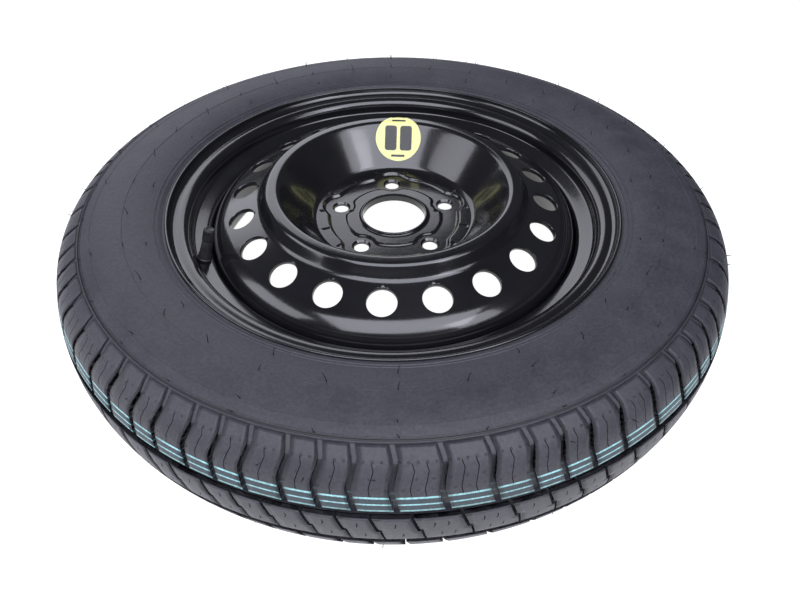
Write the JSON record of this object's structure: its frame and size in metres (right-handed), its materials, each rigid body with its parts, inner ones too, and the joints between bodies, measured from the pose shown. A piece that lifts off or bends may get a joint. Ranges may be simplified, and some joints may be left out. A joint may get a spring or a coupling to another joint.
{
  "type": "space saver spare wheel",
  "caption": "Narrow temporary spare wheel: ribbed tyre on a black pressed steel wheel with round vents, lobed bolt pad, snap-in valve and round yellow label.",
  "frame": {"origin": "on the wheel's axis, at the level of the inboard sidewall that the wheel lies on", "axes": "+Z along the wheel's axis, from the inboard side to the outboard side"},
  "size_m": [0.6492, 0.6492, 0.1324],
  "materials": {
    "tyre_rubber": "moulded tread rubber, satin",
    "wheel_paint": "gloss black paint on pressed steel",
    "weld_paint": "gloss black paint over rippled weld",
    "valve_rubber": "smooth moulded rubber",
    "valve_brass": "turned brass",
    "red_seal": "smooth sealing ring",
    "seal_rubber": "smooth rubber",
    "spring_steel": "drawn spring wire",
    "cap_plastic": "moulded plastic, satin",
    "label_film": "printed pale yellow film"
  },
  "bodies": {
    "wheel": {"tyre": "tyre_rubber", "rim": "wheel_paint", "disc": "wheel_paint", "disc_welds": "weld_paint", "valve_body": "valve_rubber", "valve_stem": "valve_brass", "core_barrel": "valve_brass", "barrel_seal": "red_seal", "core_spring": "spring_steel", "speed_label": "label_film"},
    "core_slider": {"core_pin": "valve_brass", "core_plunger": "valve_brass", "plunger_seal": "seal_rubber"},
    "cap_rise": {"cap_seal": "seal_rubber"},
    "cap": {"valve_cap": "cap_plastic"}
  },
  "joints": [
    {"name": "core_pin_slide", "type": "slide", "parent": "wheel", "child": "core_slider", "axis": [-0.3148, -0.1336, -0.9397], "range_m": [0, 0.0014], "stiffness_N_per_m": 900, "springref_m": -0.003, "deforming": ["core_spring"]},
    {"name": "cap_lift", "type": "slide", "parent": "wheel", "child": "cap_rise", "axis": [0.3148, 0.1336, 0.9397], "range_m": [0, 0.00476]},
    {"name": "cap_turn", "type": "hinge", "parent": "cap_rise", "child": "cap", "pos_m": [-0.17707, -0.07516, 0.09559], "axis": [0.3148, 0.1336, 0.9397], "range_deg": [0, 2160]}
  ],
  "couplings": [
    {"joint": "cap_turn", "follows": "cap_lift", "rad_per_m": 7915.8}
  ]
}
